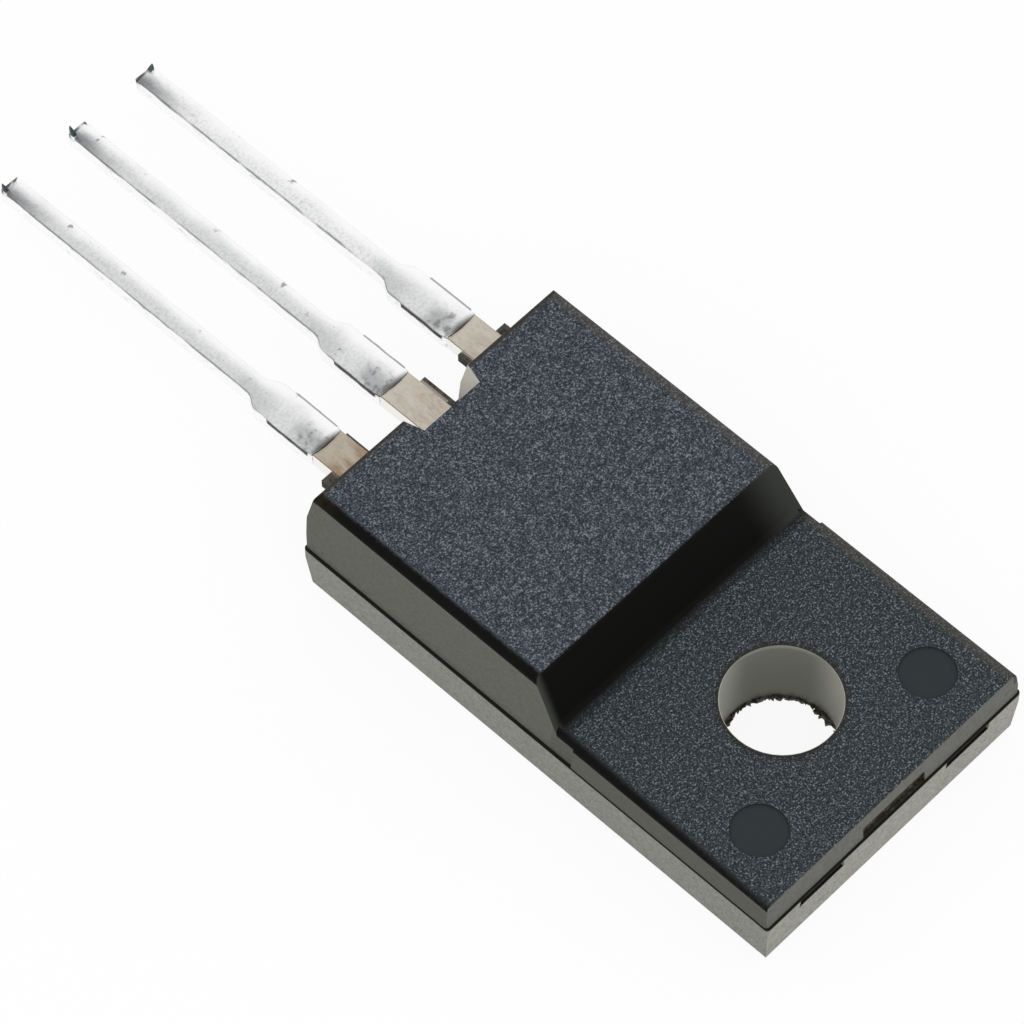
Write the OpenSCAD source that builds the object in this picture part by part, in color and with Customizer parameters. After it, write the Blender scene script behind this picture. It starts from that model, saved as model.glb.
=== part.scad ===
// Power transistor in a fully moulded three-lead package, lying on its back.
// Millimetres. Origin: axis of the screw hole on the back face. +Z points
// out of the marked face, +Y points along the leads, X runs across the body.

/* [Moulded body] */
// Width across the long sides, at the parting line
body_w = 9.7; // [9.4:0.05:10.6]
// Length from the tab end to the lead end, at the parting line
body_l = 16.6; // [16.4:0.1:17.4]
// Thickness of the thick end, over the semiconductor
body_t = 4.1; // [3.95:0.05:4.7]
// Thickness of the screw tab
tab_t = 2.7; // [2.5:0.05:3]
// Distance from the hole's axis to the tab end
tab_end = 4; // [3.7:0.05:4.3]
// Distance from the hole's axis to the top edge of the slope
slope_y = 4.43; // [4.2:0.01:5]
// Length of the slope along the body
slope_run = 0.83; // [0.3:0.01:1.2]
// Height of the mould's parting line on the sides and the tab end
part_z = 1.8; // [1.7:0.05:2.1]
// How far the lower half stands out beyond the end of the tab
ledge = 0.06; // [0.02:0.01:0.1]
// How far the lower half stands out beyond the long sides of the tab
side_ledge = 0.02; // [0.01:0.01:0.06]
// How far the tab stands out beyond the thick end, on each side
tab_step = 0.06; // [0.02:0.01:0.1]
// Distance from the hole's axis to the step between tab and thick end
tab_step_y = 2.9; // [2.4:0.05:3.1]
// Draft angle of the upper half
side_draft = 6; // [2:0.5:8]
// Draft angle of the lower half
lower_draft = 4.5; // [1:0.5:6]
// Height from which the end above the leads leans back
crown_z = 3.1; // [3:0.05:3.4]
// Lean of the end above the leads
crown_lean = 12; // [4:1:20]
// Radius of the upright corners in plan, at the parting line
corner_r = 0.12; // [0.05:0.01:0.3]
// Rounding of the long edges of the top faces
top_r = 0.17; // [0.05:0.01:0.2]
// Rounding of the top edges at the two ends
end_r = 0.06; // [0.03:0.01:0.2]
// Rounding of the slope's upper edge
slope_top_r = 0.12; // [0.05:0.01:0.2]
// Fillet at the foot of the slope
slope_foot_r = 0.25; // [0.1:0.01:0.4]
// Rounding of the edges of the back face
back_r = 0.1; // [0.03:0.01:0.2]

/* [Screw hole and mould marks] */
// Diameter of the screw hole
hole_d = 3.25; // [3:0.05:3.7]
// Diameter of the two round ejector marks on the tab
mark_d = 1.55; // [1.2:0.05:1.8]
// Distance of each ejector mark from the middle of the tab
mark_x = 3.2; // [3.1:0.05:3.4]
// Distance of the ejector marks from the hole's axis towards the tab end
mark_y = 2.17; // [1.9:0.01:2.4]
// Depth of the ejector marks
mark_depth = 0.06; // [0.04:0.01:0.3]
// Width of the broken-off gate on the tab end
gate_w = 2.3; // [1.6:0.1:3]
// Height of the broken-off gate
gate_h = 0.38; // [0.2:0.01:0.5]
// Depth of the broken-off gate
gate_depth = 0.07; // [0.04:0.01:0.3]
// Width of each vent slot under the parting line of the tab end
vent_w = 1.65; // [1:0.05:1.9]
// Distance of each vent slot's middle from the middle of the tab end
vent_x = 2.78; // [2.7:0.01:3]
// Height of the vent slots
vent_h = 0.33; // [0.1:0.01:0.4]
// Depth of the vent slots
vent_depth = 0.2; // [0.1:0.01:0.4]
// Land left between a vent slot and the parting line
vent_land = 0.03; // [0.02:0.01:0.1]

/* [Recess at the middle lead] */
// Width of the recess at its mouth, in the top face
recess_mouth_w = 2.55; // [2.3:0.05:2.8]
// Width of the recess at its inner end, in the top face
recess_inner_w = 2.05; // [2:0.05:2.25]
// Depth of the recess, from the lead end at the parting line into the body
recess_depth = 0.88; // [0.7:0.01:1]
// Draft angle of the recess walls
recess_draft = 8; // [2:1:10]

/* [Leads] */
// Distance between the middles of neighbouring leads
pitch = 2.54; // [2.5:0.01:2.65]
// Thickness of the lead sheet, without its solder
lead_t = 0.45; // [0.4:0.01:0.55]
// Height of the leads' underside above the back face
lead_z = 2.4; // [2.3:0.05:2.6]
// Length of the leads outside the body
lead_l = 13.5; // [10:0.05:15]
// Width of the thin part of a lead, without its solder
lead_w = 0.58; // [0.45:0.01:0.75]
// Width of the wide part next to the body, without its solder
stub_w = 1.07; // [1:0.01:1.2]
// Length of the wide part outside the body
stub_l = 3.5; // [3.25:0.05:4]
// Length of the taper from the wide part to the thin part
shoulder_l = 0.5; // [0.3:0.05:1]
// Distance from the body to the sheared ends of the dam bar
dam_y = 1.5; // [1.4:0.05:1.65]
// Length of the sheared ends of the dam bar
dam_l = 1.55; // [1.2:0.01:1.6]
// How far the sheared ends of the dam bar stand out
dam_burr = 0.03; // [0.01:0.005:0.05]

/* [Solder dip] */
// Thickness of the solder on the leads
solder_t = 0.03; // [0.02:0.005:0.05]
// Bare length between the body and the solder
bare_l = 1.34; // [0.7:0.01:1.4]
// Radius of the rounded front of the solder, in plan
front_r = 1.9; // [1.2:0.1:4]

/* [Header inside the body] */
// Thickness of the copper header
header_t = 1.2; // [0.9:0.05:1.25]
// Moulding between the header and the back face
back_cover = 0.5; // [0.4:0.05:0.6]
// Moulding between the header and the long sides
side_cover = 0.95; // [0.8:0.05:1.1]
// Moulding between the header and the tab end
end_cover = 0.85; // [0.7:0.05:1]
// Moulding between the header and the screw hole
hole_cover = 0.7; // [0.5:0.05:0.75]
// Moulding between the header and the lead end
lead_cover = 2.35; // [2.2:0.05:2.6]
// Corner radius of the header
header_r = 0.5; // [0.2:0.05:0.8]
// Radius of the half-round locking notches in the header's long sides
notch_r = 0.45; // [0.3:0.05:0.6]
// Distance of the locking notches from the hole's axis
notch_y = 4.6; // [4.2:0.1:5]
// Width of the bent neck from the header to the middle lead
neck_w = 1.5; // [1.2:0.05:1.6]
// Moulding between the top of the neck and the recess
neck_cover = 0.2; // [0.1:0.05:0.35]
// Length of the neck's slanted part
neck_run = 0.85; // [0.6:0.05:1]

/* [Inner ends of the outer leads] */
// Width of the wire posts
post_w = 2.2; // [2:0.05:2.3]
// Length of the wire posts
post_l = 1.15; // [1.1:0.05:1.3]
// Moulding between a wire post and the lead end
post_cover = 0.8; // [0.7:0.05:0.9]
// How far a wire post's middle lies outside its lead's middle
post_shift = 0.1; // [0:0.05:0.2]
// Corner radius of the wire posts
post_r = 0.2; // [0.1:0.05:0.3]
// Diameter of the locking hole in each wire post
lock_d = 0.4; // [0.3:0.05:0.5]

/* [Semiconductor and wires] */
// Size of the silicon die along X
die_w = 3.6; // [3.2:0.1:4.4]
// Size of the silicon die along Y
die_l = 3.2; // [3:0.1:3.6]
// Thickness of the silicon die
die_t = 0.25; // [0.2:0.01:0.35]
// Distance between the die and the header's end at the leads
die_gap = 1.05; // [0.9:0.05:1.3]
// Thickness of the solder under the die
attach_t = 0.06; // [0.03:0.01:0.1]
// Margin of the solder round the die
attach_margin = 0.12; // [0.05:0.01:0.2]
// Diameter of the thin wire to the control lead
thin_d = 0.15; // [0.1:0.01:0.2]
// Diameter of the two thick wires to the load lead
thick_d = 0.3; // [0.2:0.01:0.35]
// Height of a wire's arch above the line between its ends
arch = 0.75; // [0.5:0.05:0.9]
// Distance of a wire's foot from the edge of the die
pad_inset = 0.5; // [0.45:0.05:0.6]
// Distance between the feet of the two thick wires
wire_gap = 0.85; // [0.7:0.05:0.9]

/* [Hidden] */

// how far a cutting shape runs past the surface that it cuts
past = 0.5;
// steps of a rounded edge's profile
round_steps = 4;
// segments of circles on small and on large radii
$fn = 32;
fine = 64;

half_w = body_w / 2;
lead_end = body_l - tab_end;
// foot of the slope on the tab, and the slope carried on down to the parting line
slope_foot = slope_y - slope_run;
slope_low = slope_y - slope_run * (body_t - part_z) / (body_t - tab_t);
slope_angle = atan2(body_t - tab_t, slope_run);
lead_top = lead_z + lead_t;
tip_y = lead_end + lead_l;

header_top = back_cover + header_t;
header_w = body_w - 2 * side_cover;
header_y0 = -tab_end + end_cover;
header_y1 = lead_end - lead_cover;
// the neck rises to the middle lead's height at neck_y1, short of the recess
neck_y1 = lead_end - recess_depth - neck_cover;
neck_y0 = neck_y1 - neck_run;

post_y1 = lead_end - post_cover;
post_y0 = post_y1 - post_l;
post_mid = post_y0 + post_l / 2;
post_x = pitch + post_shift;

die_y = header_y1 - die_gap - die_l / 2;
die_z = header_top + attach_t;
die_top = die_z + die_t;

// flash left by the mould beside the leads: lead, side, width, length
FLASH = [[-1, -1, 0.33, 0.7], [-1, 1, 0.12, 1.25], [0, 1, 0.26, 1],
    [1, -1, 0.1, 0.85], [1, 1, 0.42, 0.65]];
flash_t = 0.3;
// how far the flash reaches back into the body
flash_root = 0.6;
// land between the parting line and the gate
gate_land = 0.04;
// steps of the S-shaped shoulder of a lead
shoulder_steps = 8;
// flattened end of a wire, in wire diameters
foot_len = 1.6;
foot_wide = 1.4;
foot_flat = 0.6;

// Profile of a moulded edge as [inset, height] points: a drafted wall from z0
// to z1 that ends in a rounded edge. It serves walls that lean either way.
function edge_profile(z0, z1, draft, r) =
    let (rise = abs(z1 - z0), up = z1 > z0 ? 1 : -1, lean = tan(draft),
         sweep = 90 - draft, wall = (rise - r * (1 - sin(draft))) * lean,
         cx = wall + r * cos(draft), cz = rise - r)
    concat([[0, z0]],
        [for (i = [0:round_steps])
            let (a = draft + sweep * i / round_steps)
            [cx - r * cos(a), z0 + up * (cz + r * sin(a))]]);

// outline across two facing edge profiles, w apart at their starts
module facing(profile, w)
    polygon(concat(
        [for (p = profile) [p[0] - w / 2, p[1]]],
        [for (i = [len(profile) - 1:-1:0]) [w / 2 - profile[i][0], profile[i][1]]]));

// stretch of a block with drafted long sides, from y0 to y1
module drafted_run(w, y0, y1, profile)
    translate([0, y1, 0]) rotate([90, 0, 0]) linear_extrude(y1 - y0)
        facing(profile, w);

// the body's outline seen from the side, as [y, z] points, carried across it
module across(points)
    translate([-half_w, 0, 0]) rotate([90, 0, 90]) linear_extrude(body_w)
        polygon(points);

// upright column that rounds the corners of what it is intersected with
module column(w, y0, y1)
    linear_extrude(body_t) rounded_rect(-w / 2, w / 2, y0, y1, corner_r);

module lower_half() {
    wall = edge_profile(part_z, 0, lower_draft, back_r);
    intersection() {
        drafted_run(body_w, -tab_end, lead_end, wall);
        across(concat([for (p = wall) [p[0] - tab_end, p[1]]],
            [for (i = [len(wall) - 1:-1:0]) [lead_end - wall[i][0], wall[i][1]]]));
        column(body_w, -tab_end, lead_end);
    }
}

// points of an arc about [y, z], from angle a0 to angle a1
function arc(y, z, r, a0, a1) =
    [for (i = [0:round_steps])
        let (a = a0 + (a1 - a0) * i / round_steps) [y + r * cos(a), z + r * sin(a)]];

// the tab from the side: its end wall ends in a rounded edge
module tab_view()
    across(concat(
        [for (p = edge_profile(part_z, tab_t, side_draft, end_r))
            [ledge - tab_end + p[0], p[1]]],
        [[tab_step_y, tab_t], [tab_step_y, part_z]]));

// the thick end from the side: upright behind the leads, leaning back above
// them, and sloping down to the tab
module thick_view() {
    reach = slope_top_r * tan(slope_angle / 2);
    across(concat([[lead_end, part_z]],
        [for (p = edge_profile(crown_z, body_t, crown_lean, end_r)) [lead_end - p[0], p[1]]],
        arc(slope_y + reach, body_t - slope_top_r, slope_top_r, 90, 90 + slope_angle),
        [[slope_low, part_z]]));
}

// fillet along the foot of the slope, as wide as the flat of the tab
module slope_fillet(w) {
    reach = slope_foot_r * tan(slope_angle / 2);
    translate([-w / 2, 0, 0]) rotate([90, 0, 90]) linear_extrude(w)
        polygon(concat(
            arc(slope_foot - reach, tab_t + slope_foot_r, slope_foot_r, -90, slope_angle - 90),
            [[slope_foot + reach, tab_t - reach]]));
}

module upper_half() {
    tab_w = body_w - 2 * side_ledge;
    tab_wall = edge_profile(part_z, tab_t, side_draft, top_r);
    thick_w = tab_w - 2 * tab_step;
    thick_wall = edge_profile(part_z, body_t, side_draft, top_r);
    intersection() {
        drafted_run(tab_w, -tab_end, tab_step_y, tab_wall);
        tab_view();
        column(tab_w, ledge - tab_end, lead_end);
    }
    drafted_run(thick_w, tab_step_y - past, slope_y, tab_wall);
    intersection() {
        drafted_run(thick_w, slope_low, lead_end, thick_wall);
        thick_view();
        column(thick_w, -tab_end, lead_end);
    }
    slope_fillet(thick_w - 2 * ((tab_t - part_z) * tan(side_draft) + top_r));
}

// Pocket in the lead end that leaves the root of the middle lead open. It is
// widest at its mouth and in the top face, as the core that forms it needs.
module recess() {
    top = body_t + past;
    mouth_y = lead_end + past;
    inner_y = lead_end - recess_depth;
    flare = (recess_mouth_w - recess_inner_w) / 2 / recess_depth;
    lean = tan(recess_draft);
    // half width at height z and distance y from the inner end
    function half(y, z) = recess_inner_w / 2 + (y - inner_y) * flare
        - (body_t - z) * lean;
    function ring(z, y0) = [[-half(y0, z), y0, z], [half(y0, z), y0, z],
        [half(mouth_y, z), mouth_y, z], [-half(mouth_y, z), mouth_y, z]];
    polyhedron(concat(ring(lead_z, inner_y + (body_t - lead_z) * lean), ring(top, inner_y)),
        [[0, 1, 2, 3], [7, 6, 5, 4], [4, 5, 1, 0], [5, 6, 2, 1], [6, 7, 3, 2], [7, 4, 0, 3]]);
}

// thin plastic that the mould left along the roots of the leads
module flash() {
    for (f = FLASH) {
        edge = f[0] * pitch + f[1] * stub_w / 2;
        translate([f[1] > 0 ? edge : edge - f[2], lead_end - flash_root, lead_z])
            cube([f[2], flash_root + f[3], flash_t]);
    }
}

// round ejector marks, broken-off gate and vent slots
module mould_marks() {
    for (s = [-1, 1])
        translate([s * mark_x, -mark_y, tab_t - mark_depth])
            cylinder(d = mark_d, h = mark_depth + past, $fn = fine);
    wall_y = ledge - tab_end + gate_h * tan(side_draft);
    translate([-gate_w / 2, wall_y - past, part_z + gate_land])
        cube([gate_w, past + gate_depth, gate_h]);
    for (s = [-1, 1])
        translate([s * vent_x - vent_w / 2, -tab_end - past, part_z - vent_land - vent_h])
            cube([vent_w, past + vent_depth, vent_h]);
}

module moulded_body() color("#2b3038") difference() {
    union() {
        difference() {
            union() {
                lower_half();
                upper_half();
            }
            translate([0, 0, -past]) cylinder(d = hole_d, h = tab_t + 2 * past, $fn = fine);
            recess();
            mould_marks();
        }
        flash();
    }
    header();
    for (s = [-1, 1]) outer_lead(s);
    attach();
    die();
    thin_bond();
    thick_bond(0);
    thick_bond(1);
}

// Half outline of a lead outside the body as [distance, half width] points,
// grown by g: wide part with the sheared dam bar, S-shaped shoulder, thin part.
function lead_edge(y0, g) = concat(
    [[y0, stub_w / 2 + g],
     [lead_end + dam_y - g, stub_w / 2 + g],
     [lead_end + dam_y - g, stub_w / 2 + dam_burr + g],
     [lead_end + dam_y + dam_l + g, stub_w / 2 + dam_burr + g],
     [lead_end + dam_y + dam_l + g, stub_w / 2 + g]],
    [for (i = [0:shoulder_steps])
        let (t = i / shoulder_steps)
        [lead_end + stub_l + shoulder_l * t,
         stub_w / 2 + g - (stub_w - lead_w) / 2 * (1 - cos(180 * t)) / 2]],
    [[tip_y, lead_w / 2 + g]]);

// outline of a lead from y0 to its tip, symmetric about x = 0
module lead_outline(y0, g = 0) {
    edge = lead_edge(y0, g);
    polygon(concat([for (p = edge) [p[1], p[0]]],
        [for (i = [len(edge) - 1:-1:0]) [-edge[i][1], edge[i][0]]]));
}

module rounded_rect(x0, x1, y0, y1, r) {
    translate([x0 + r, y0]) square([x1 - x0 - 2 * r, y1 - y0]);
    translate([x0, y0 + r]) square([x1 - x0, y1 - y0 - 2 * r]);
    for (x = [x0 + r, x1 - r], y = [y0 + r, y1 - r])
        translate([x, y]) circle(r);
}

// copper plate under the die, one piece with the middle lead
module header() {
    translate([0, 0, back_cover]) difference() {
        linear_extrude(header_t)
            rounded_rect(-header_w / 2, header_w / 2, header_y0, header_y1, header_r);
        translate([0, 0, -past])
            cylinder(r = hole_d / 2 + hole_cover, h = header_t + 2 * past, $fn = fine);
        for (s = [-1, 1])
            translate([s * header_w / 2, notch_y, -past])
                cylinder(r = notch_r, h = header_t + 2 * past);
    }
    // bent neck, as thick as the lead
    translate([-neck_w / 2, 0, 0]) rotate([90, 0, 90]) linear_extrude(neck_w)
        polygon([[neck_y0 - lead_t, header_top - lead_t], [neck_y0, header_top - lead_t],
            [neck_y1, lead_z], [neck_y1, lead_top], [neck_y1 - lead_t / 2, lead_top],
            [neck_y0 - lead_t / 2, header_top], [neck_y0 - lead_t, header_top]]);
    translate([0, 0, lead_z]) linear_extrude(lead_t) lead_outline(neck_y1);
}

module header_with_middle_lead() color("#c9b79a") header();

// one of the two outer leads, with its wire post inside the body; s is +1 or -1
module outer_lead(s) {
    translate([0, 0, lead_z]) linear_extrude(lead_t) difference() {
        union() {
            translate([s * pitch, 0]) lead_outline(post_y1 - post_r);
            translate([s * post_x, 0])
                rounded_rect(-post_w / 2, post_w / 2, post_y0, post_y1, post_r);
        }
        translate([s * (post_x + post_w / 2 - lock_d), post_y1 - lock_d]) circle(d = lock_d);
    }
}

module control_lead() color("#c9b79a") outer_lead(1);

module load_lead() color("#c9b79a") outer_lead(-1);

module attach()
    translate([-die_w / 2 - attach_margin, die_y - die_l / 2 - attach_margin, header_top])
        cube([die_w + 2 * attach_margin, die_l + 2 * attach_margin, attach_t]);

module die_attach() color("#9aa0a6") attach();

module die()
    translate([-die_w / 2, die_y - die_l / 2, die_z]) cube([die_w, die_l, die_t]);

module silicon_die() color("#4a4f5c") die();

// Flattened end of a wire on its pad, along the direction of the wire
module wire_foot(at, heading, d)
    translate(at) rotate([0, 0, heading]) linear_extrude(d * foot_flat) {
        square([foot_len * d, foot_wide * d], center = true);
        for (s = [-1, 1]) translate([s * foot_len * d / 2, 0]) circle(d = foot_wide * d);
    }

// Wire from a point on the die to a point on a post: a circular arch in the
// upright plane through both, and a flattened foot at each end.
module bond_wire(from, to, d) {
    run = to - from;
    flat = norm([run[0], run[1]]);
    chord = norm(run);
    radius = chord * chord / (8 * arch) + arch / 2;
    half_turn = asin(chord / 2 / radius);
    heading = atan2(run[1], run[0]);
    translate(from + [0, 0, d / 2]) rotate([0, 0, heading]) rotate([90, 0, 0])
        rotate([0, 0, atan2(run[2], flat)]) translate([chord / 2, arch - radius, 0])
        rotate([0, 0, 90 - half_turn]) rotate_extrude(angle = 2 * half_turn, $fn = fine)
        translate([radius, 0]) circle(d = d, $fn = 16);
    wire_foot(from, heading, d);
    wire_foot(to, heading, d);
}

// the control lead's wire starts near the die's corner on the control side
module thin_bond() bond_wire(
    [die_w / 2 - pad_inset, die_y + die_l / 2 - pad_inset, die_top],
    [post_x, post_mid, lead_top], thin_d);

// the load lead's wires start side by side on the die; n is 0 or 1
module thick_bond(n) bond_wire(
    [-pad_inset - n * wire_gap, die_y + die_l / 2 - pad_inset - n * wire_gap, die_top],
    [-post_x + (0.5 - n) * wire_gap, post_mid, lead_top], thick_d);

module thin_wire() color("#d8d9dc") thin_bond();

module thick_wire_inner() color("#d8d9dc") thick_bond(0);

module thick_wire_outer() color("#d8d9dc") thick_bond(1);

// Solder left on a lead by dipping: a thin sleeve, open at the cut tip, whose
// front bulges towards the body.
module solder_sleeve(x) translate([x, 0, 0]) difference() {
    front_y = lead_end + bare_l;
    intersection() {
        translate([0, 0, lead_z - solder_t]) linear_extrude(lead_t + 2 * solder_t)
            lead_outline(front_y, solder_t);
        translate([0, 0, lead_z - past]) linear_extrude(lead_t + 2 * past) union() {
            translate([0, front_y + front_r]) circle(front_r, $fn = fine);
            translate([-pitch / 2, front_y + front_r]) square([pitch, lead_l]);
        }
    }
    translate([0, 0, lead_z]) linear_extrude(lead_t) {
        lead_outline(lead_end);
        translate([-lead_w / 2, tip_y - past]) square([lead_w, 2 * past]);
    }
}

module solder_control() color("#d5d7da") solder_sleeve(pitch);

module solder_middle() color("#d5d7da") solder_sleeve(0);

module solder_load() color("#d5d7da") solder_sleeve(-pitch);

moulded_body();
header_with_middle_lead();
control_lead();
load_lead();
die_attach();
silicon_die();
thin_wire();
thick_wire_inner();
thick_wire_outer();
solder_control();
solder_middle();
solder_load();
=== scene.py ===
import math
from types import SimpleNamespace

import bpy
from mathutils import Matrix, Vector


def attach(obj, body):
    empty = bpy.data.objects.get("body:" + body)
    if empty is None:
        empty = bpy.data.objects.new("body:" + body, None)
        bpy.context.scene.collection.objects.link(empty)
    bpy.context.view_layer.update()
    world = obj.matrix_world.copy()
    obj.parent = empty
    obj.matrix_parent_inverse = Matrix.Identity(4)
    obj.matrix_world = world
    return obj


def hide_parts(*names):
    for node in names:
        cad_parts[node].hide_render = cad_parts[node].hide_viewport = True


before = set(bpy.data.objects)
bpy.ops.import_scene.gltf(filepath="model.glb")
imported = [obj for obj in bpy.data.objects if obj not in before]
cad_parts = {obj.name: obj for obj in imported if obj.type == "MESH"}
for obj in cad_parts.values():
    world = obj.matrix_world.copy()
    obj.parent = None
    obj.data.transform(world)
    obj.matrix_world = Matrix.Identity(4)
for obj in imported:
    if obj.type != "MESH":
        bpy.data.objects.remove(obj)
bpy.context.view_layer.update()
mm = 0.001  # settings are in millimetres, Blender works in metres
print("frame loaded:", len(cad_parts), "nodes")

# the leads as part.scad places them: end of the body, their distance, their cut tips
leads = {"bodyEnd": 12.6, "pitch": 2.54, "tip": 26.1}


class Wire:
    # one output of a node, so that shader maths reads as plain Python
    def __init__(self, tree, socket=None):
        self.tree = tree
        self.socket = socket

    def node(self, kind, settings=None, inputs=None, out=0):
        made = self.tree.nodes.new("ShaderNode" + kind)
        for name, value in (settings or {}).items():
            setattr(made, name, value)
        for name, value in (inputs or {}).items():
            if isinstance(value, Wire):
                self.tree.links.new(value.socket, made.inputs[name])
            else:
                made.inputs[name].default_value = value
        return Wire(self.tree, made.outputs[out])

    def maths(self, operation, a, b=0.0, c=0.0):
        return self.node("Math", {"operation": operation}, {0: a, 1: b, 2: c})

    def __add__(self, other):
        return self.maths("ADD", self, other)

    def __radd__(self, other):
        return self.maths("ADD", other, self)

    def __sub__(self, other):
        return self.maths("SUBTRACT", self, other)

    def __rsub__(self, other):
        return self.maths("SUBTRACT", other, self)

    def __mul__(self, other):
        return self.maths("MULTIPLY", self, other)

    def __rmul__(self, other):
        return self.maths("MULTIPLY", other, self)

    def __truediv__(self, other):
        return self.maths("DIVIDE", self, other)

    def __rtruediv__(self, other):
        return self.maths("DIVIDE", other, self)

    def __abs__(self):
        return self.maths("ABSOLUTE", self)

    # a step is an edge, its softness and its height: 0 on one side of the edge and
    # that height on the other; a band is two edges and their softness, 1 between
    # them; the edges are measured from at
    def over(self, step, at=0.0):
        edge, soft, height = step
        return self.node("MapRange", {"interpolation_type": "SMOOTHSTEP"}, {
            "Value": self, "From Min": at + edge - soft / 2,
            "From Max": at + edge + soft / 2, "To Max": height})

    def under(self, step, at=0.0):
        return step[2] - self.over(step, at)

    def between(self, band, at=0.0):
        low, high, soft = band
        return self.over((low, soft, 1), at) * self.under((high, soft, 1), at)

    def least(self, other):
        return self.maths("MINIMUM", self, other)

    def most(self, other):
        return self.maths("MAXIMUM", self, other)

    def length(self, other):
        # how far away a place is, from its distances along two axes
        return self.maths("SQRT", self * self + other * other)

    def blend(self, a, b):
        # colour a where this mask is 0, colour b where it is 1; a Mix node has
        # sockets of the same name for numbers and colours, so these go by number
        return self.node("Mix", {"data_type": "RGBA"}, {0: self, 6: a, 7: b}, out=2)

    def choose(self, a, b):
        # shader a where this mask is 0, shader b where it is 1
        return self.node("MixShader", None, {0: self, 1: a, 2: b})

    def finish(self, output="ShaderNodeOutputMaterial"):
        # leads this shader to the output of a material or of the world
        made = self.tree.nodes.new(output)
        self.tree.links.new(self.socket, made.inputs[0])


def srgb(r, g, b):
    # a colour as it is read off a screen, 0 to 255
    def linear(v):
        v = v / 255
        return v / 12.92 if v <= 0.04045 else ((v + 0.055) / 1.055) ** 2.4
    return (linear(r), linear(g), linear(b), 1.0)


def newMaterial(name):
    material = bpy.data.materials.new(name)
    material.use_nodes = True
    material.node_tree.nodes.clear()
    return material, Wire(material.node_tree)


def axes(wire, vector):
    return [wire.node("SeparateXYZ", None, {0: vector}, out=axis) for axis in "XYZ"]


def objectPlace(wire):
    # place in the part's frame, in millimetres
    place = wire.node("TexCoord", out="Object")
    return wire.node("VectorMath", {"operation": "SCALE"}, {0: place, "Scale": 1 / mm})


def facing(wire):
    return axes(wire, wire.node("NewGeometry", out="Normal"))


def acrossLead(x):
    # signed distance from the middle of the nearest lead
    return x.maths("WRAP", x, leads["pitch"] / 2, -leads["pitch"] / 2)


def stretched(wire, place, share):
    # a pattern on this place is drawn out along the leads
    return wire.node("Mapping", None, {"Vector": place, "Scale": (1.0, share, 1.0)})


def noise(wire, place, scale, detail, rough):
    return wire.node("TexNoise", None, {
        "Vector": place, "Scale": scale, "Detail": detail, "Roughness": rough})


def swing(pattern, reach):
    # a noise runs about 0.5, and this about 0
    return (pattern - 0.5) * reach


def bump(wire, relief, height):
    strength, depth = relief
    return wire.node("Bump", None, {
        "Strength": strength, "Distance": depth * mm, "Height": height})


def surface(wire, colour, rough, relief, **others):
    inputs = {"Base Color": colour, "Roughness": rough, "Normal": relief}
    inputs.update(others)
    return wire.node("BsdfPrincipled", None, inputs)


def dress(node, material):
    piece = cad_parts[node]
    piece.data.materials.clear()
    piece.data.materials.append(material)


# studio

studio = {
    # camera, fitted to the straight edges of the photo; angles in degrees
    "azimuth": -45.044, "elevation": 58.08, "roll": -1.271,
    "distance": 161.913, "target": (-0.134, 9.51, 1.5),
    "lens": 215.27, "sensor": 36.0, "clipStart": 0.01, "clipEnd": 5.0,  # clips in metres
    # light; shadowShare is how much of its shadows the white card shows
    "white": (1, 1, 1, 1), "worldLight": 0.8, "shadowShare": 0.1,
    "floorSize": 1200.0, "floorGap": 0.02,
    "softboxPower": 0.075, "softboxSize": 160.0,
    "softboxPlace": (-70.0, -70.0, 160.0), "softboxAim": (0, 11.0, 0),
}


def makeCamera(s):
    a, e, r = (math.radians(s[k]) for k in ("azimuth", "elevation", "roll"))
    back = Vector((math.sin(a) * math.cos(e), -math.cos(a) * math.cos(e), math.sin(e)))
    right = Vector((math.cos(a), math.sin(a), 0.0))
    up = back.cross(right)
    turned = right * math.cos(r) + up * math.sin(r)
    upright = up * math.cos(r) - right * math.sin(r)
    data = bpy.data.cameras.new("camera")
    data.sensor_width = s["sensor"]
    data.lens = s["lens"]
    data.clip_start = s["clipStart"]
    data.clip_end = s["clipEnd"]
    camera = bpy.data.objects.new("camera", data)
    bpy.context.scene.collection.objects.link(camera)
    place = (Vector(s["target"]) + back * s["distance"]) * mm
    camera.matrix_world = Matrix.Translation(place) @ Matrix(
        (turned, upright, back)).transposed().to_4x4()
    bpy.context.scene.camera = camera


def seenDirectly(wire):
    # 1 for what the camera, a reflection or a clear material sees, 0 for plain light
    camera, glossy, through = (wire.node("LightPath", out=ray) for ray in (
        "Is Camera Ray", "Is Glossy Ray", "Is Transmission Ray"))
    return camera.most(glossy).most(through)


def makeWorld(s):
    world = bpy.data.worlds.new("studio")
    bpy.context.scene.world = world
    world.use_nodes = True
    world.node_tree.nodes.clear()
    wire = Wire(world.node_tree)
    strength = seenDirectly(wire) * (1.0 - s["worldLight"]) + s["worldLight"]
    light = wire.node("Background", None, {"Color": s["white"], "Strength": strength})
    light.finish("ShaderNodeOutputWorld")


def makeFloor(s):
    bpy.ops.object.select_all(action="DESELECT")
    bpy.ops.mesh.primitive_plane_add(
        size=s["floorSize"] * mm, location=(0, 0, -s["floorGap"] * mm))
    floor = bpy.context.object
    floor.name = "floor"
    material, wire = newMaterial("white_card")
    card = wire.node("BsdfDiffuse", None, {"Color": s["white"]})
    glow = wire.node("Emission", None, {"Color": s["white"], "Strength": 1.0})
    above = (seenDirectly(wire) * (1.0 - s["shadowShare"])).choose(card, glow)
    # clear from below, so that the back of the part can be looked at
    fromBelow = wire.node("NewGeometry", out="Backfacing")
    clear = wire.node("BsdfTransparent")
    fromBelow.choose(above, clear).finish()
    floor.data.materials.append(material)


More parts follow.
